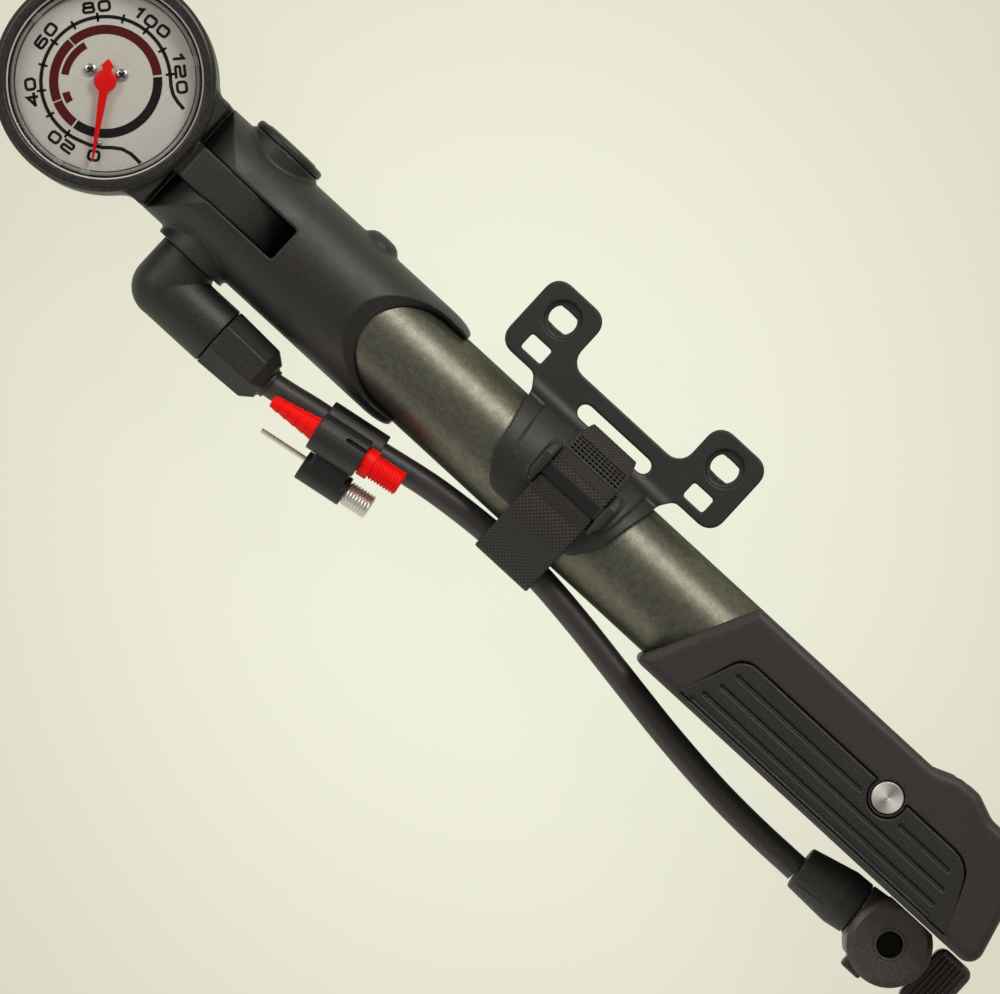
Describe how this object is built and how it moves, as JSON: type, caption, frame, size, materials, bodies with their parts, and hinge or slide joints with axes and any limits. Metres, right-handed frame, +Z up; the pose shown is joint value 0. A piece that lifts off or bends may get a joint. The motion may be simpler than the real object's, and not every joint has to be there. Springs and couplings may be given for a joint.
{
  "type": "tyre mini pump",
  "caption": "Hand tyre pump with a flip-up dial gauge, folding handle, hose with lever chuck, adapter clip and a strapped frame bracket.",
  "frame": {"origin": "middle of the base of the pump without its hose, on the surface it lies on", "axes": "+X along the barrel from the gauge to the handle, +Y to the bracket, +Z up out of the dial"},
  "size_m": [0.3971, 0.0957, 0.0437],
  "materials": {
    "black_plastic": "fine spark-eroded moulding texture",
    "grip_rubber": "matt soft overmould",
    "hose_rubber": "smooth satin hose cover",
    "barrel_paint": "metallic grey-green",
    "steel": "satin",
    "brass": "machined",
    "red_plastic": "satin",
    "pointer_red": "satin",
    "dial_silver": "brushed",
    "lens_clear": "clear",
    "strap_web": "woven hook and loop webbing",
    "seal_rubber": "matt"
  },
  "bodies": {
    "pump": {"barrel_tube": "barrel_paint", "barrel_seal": "seal_rubber", "pump_head": "black_plastic", "head_screw": "steel", "check_valve": "brass", "pivot_axle": "brass", "pivot_cap": "black_plastic", "hose_elbow": "black_plastic", "elbow_seal": "seal_rubber", "hose_nut": "black_plastic", "hose_barb": "brass", "hose": "hose_rubber", "adapter_clip": "black_plastic", "bladder_adapter": "red_plastic", "needle_adapter": "steel", "mount_bracket": "black_plastic", "mount_strap": "strap_web", "rod_guide": "black_plastic"},
    "plunger": {"piston": "black_plastic", "piston_seal": "seal_rubber", "piston_rod": "steel", "rod_knuckle": "black_plastic"},
    "handle": {"handle_shell": "black_plastic", "grip_pad_front": "grip_rubber", "grip_pad_back": "grip_rubber", "handle_pin": "steel"},
    "gauge": {"gauge_housing": "black_plastic", "gauge_bezel": "black_plastic", "gauge_lens": "lens_clear", "gauge_socket": "brass", "bourdon_tube": "brass", "movement_plate": "brass", "dial_plate": "dial_silver", "dial_screw_1": "steel", "dial_screw_2": "steel", "stop_pin": "steel"},
    "sector": {"sector_gear": "brass"},
    "pointer": {"pointer": "pointer_red", "pointer_staff": "brass"},
    "chuck": {"hose_tail": "hose_rubber", "chuck_sleeve": "black_plastic", "chuck_body": "black_plastic", "chuck_cap": "black_plastic", "chuck_gasket": "seal_rubber", "lever_pin": "black_plastic"},
    "lever": {"chuck_lever": "black_plastic"}
  },
  "joints": [
    {"name": "plunger_slide", "type": "slide", "parent": "pump", "child": "plunger", "axis": [1, 0, 0], "range_m": [0, 0.165]},
    {"name": "handle_fold", "type": "hinge", "parent": "plunger", "child": "handle", "pos_m": [0.14275, -0.00245, 0.02], "axis": [0, 0, 1], "range_deg": [0, 90]},
    {"name": "chuck_swing", "type": "hinge", "parent": "pump", "child": "chuck", "pos_m": [0.02705, -0.02395, 0.02], "axis": [0, 0, 1], "range_deg": [-45, 0], "deforming": ["hose_tail"]},
    {"name": "chuck_lever_turn", "type": "hinge", "parent": "chuck", "child": "lever", "pos_m": [0.17055, -0.03335, 0.008], "axis": [0, 1, 0], "range_deg": [0, 90]},
    {"name": "gauge_flip", "type": "hinge", "parent": "pump", "child": "gauge", "pos_m": [-0.11195, -0.00295, 0.02], "axis": [0, 1, 0], "range_deg": [0, 90]},
    {"name": "sector_swing", "type": "hinge", "parent": "gauge", "child": "sector", "pos_m": [-0.16415, -0.01695, 0.0245], "axis": [0, 0, 1], "range_deg": [0, 42.8]},
    {"name": "pointer_turn", "type": "hinge", "parent": "gauge", "child": "pointer", "pos_m": [-0.16415, -0.00295, 0.03], "axis": [0, 0, 1], "range_deg": [-257, 0]}
  ],
  "couplings": [
    {"joint": "chuck_swing", "follows": "handle_fold", "ratio": -0.5},
    {"joint": "pointer_turn", "follows": "sector_swing", "ratio": -6}
  ]
}
